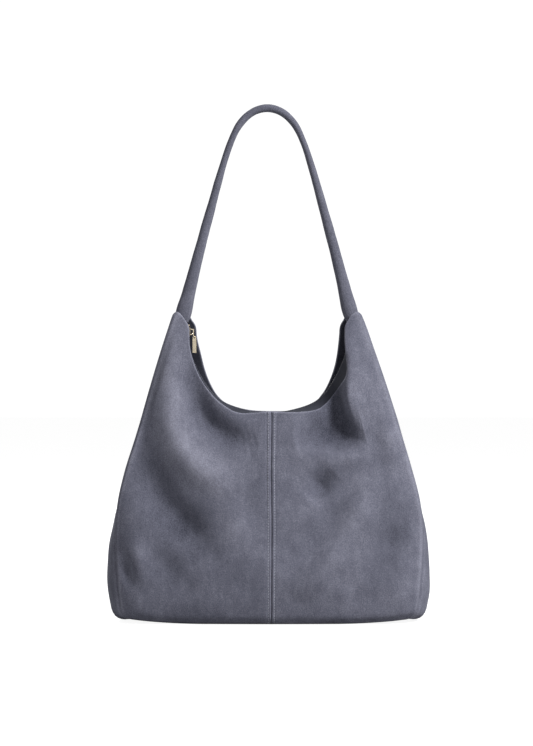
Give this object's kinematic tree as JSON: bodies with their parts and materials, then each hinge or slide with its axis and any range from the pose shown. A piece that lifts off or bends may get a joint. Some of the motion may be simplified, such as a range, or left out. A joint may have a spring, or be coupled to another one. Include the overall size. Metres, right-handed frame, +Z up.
{
  "type": "hobo bag",
  "caption": "Soft suede hobo bag with a scooped zip mouth, a bellied body, side gussets and one rolled shoulder strap.",
  "frame": {"origin": "middle of the underside of the base, on the floor", "axes": "+Z up to the strap's top, -Y out of the front, +X to the right seen from the front"},
  "size_m": [0.4, 0.13, 0.6445],
  "materials": {
    "suede": "napped suede",
    "facing": "napped suede",
    "strap_suede": "napped suede, rolled",
    "cord_filler": "soft cotton cord",
    "lining": "plain woven cotton",
    "seam_strip": "woven tape",
    "board": "fibreboard",
    "zip_tape": "woven zip tape",
    "zip_coil": "moulded nylon, satin",
    "pale_gold": "polished, pale gold"
  },
  "bodies": {
    "bag": {"front_panel_left": "suede", "front_panel_right": "suede", "back_panel_left": "suede", "back_panel_right": "suede", "gusset_left": "suede", "gusset_right": "suede", "base_panel": "suede", "front_facing": "facing", "back_facing": "facing", "strap_root_left": "strap_suede", "strap_root_right": "strap_suede", "lining_front": "lining", "lining_back": "lining", "lining_side_left": "lining", "lining_side_right": "lining", "lining_base": "lining", "front_seam_strip": "seam_strip", "back_seam_strip": "seam_strip", "base_board": "board", "zip_stop_left": "pale_gold", "zip_stop_right": "pale_gold"},
    "front_lip": {"zip_tape_front": "zip_tape", "zip_teeth_front": "zip_coil"},
    "back_lip": {"zip_tape_back": "zip_tape", "zip_teeth_back": "zip_coil"},
    "slider": {"slider_body": "pale_gold", "slider_bridge": "pale_gold"},
    "link": {"puller_link": "pale_gold"},
    "puller": {"puller_bar": "pale_gold"},
    "strap": {"strap_cover": "strap_suede", "strap_core": "cord_filler", "strap_neck_left": "strap_suede", "strap_neck_right": "strap_suede"}
  },
  "joints": [
    {"name": "zip_travel", "type": "hinge", "parent": "bag", "child": "slider", "pos_m": [0, 0, 0.358], "axis": [0, -1, 0], "range_deg": [0, 173.2]},
    {"name": "front_lip_open", "type": "hinge", "parent": "bag", "child": "front_lip", "pos_m": [0, 0, 0.37019], "axis": [-1, 0, 0], "range_deg": [0, 12.5], "deforming": ["zip_tape_front", "zip_teeth_front"]},
    {"name": "back_lip_open", "type": "hinge", "parent": "bag", "child": "back_lip", "pos_m": [0, 0, 0.37019], "axis": [1, 0, 0], "range_deg": [0, 12.5], "deforming": ["zip_tape_back", "zip_teeth_back"]},
    {"name": "link_swing", "type": "hinge", "parent": "slider", "child": "link", "pos_m": [-0.09506, 0, 0.35876], "axis": [0, -1, 0], "range_deg": [0, 100]},
    {"name": "puller_swing", "type": "hinge", "parent": "link", "child": "puller", "pos_m": [-0.09237, 0, 0.35273], "axis": [0, -1, 0], "range_deg": [-3, 50]},
    {"name": "strap_fold", "type": "hinge", "parent": "bag", "child": "strap", "pos_m": [0, 0, 0.404], "axis": [1, 0, 0], "range_deg": [-135, 135], "deforming": ["strap_neck_left", "strap_neck_right"]}
  ],
  "couplings": [
    {"joint": "front_lip_open", "follows": "zip_travel", "ratio": 0.071},
    {"joint": "back_lip_open", "follows": "zip_travel", "ratio": 0.071}
  ]
}
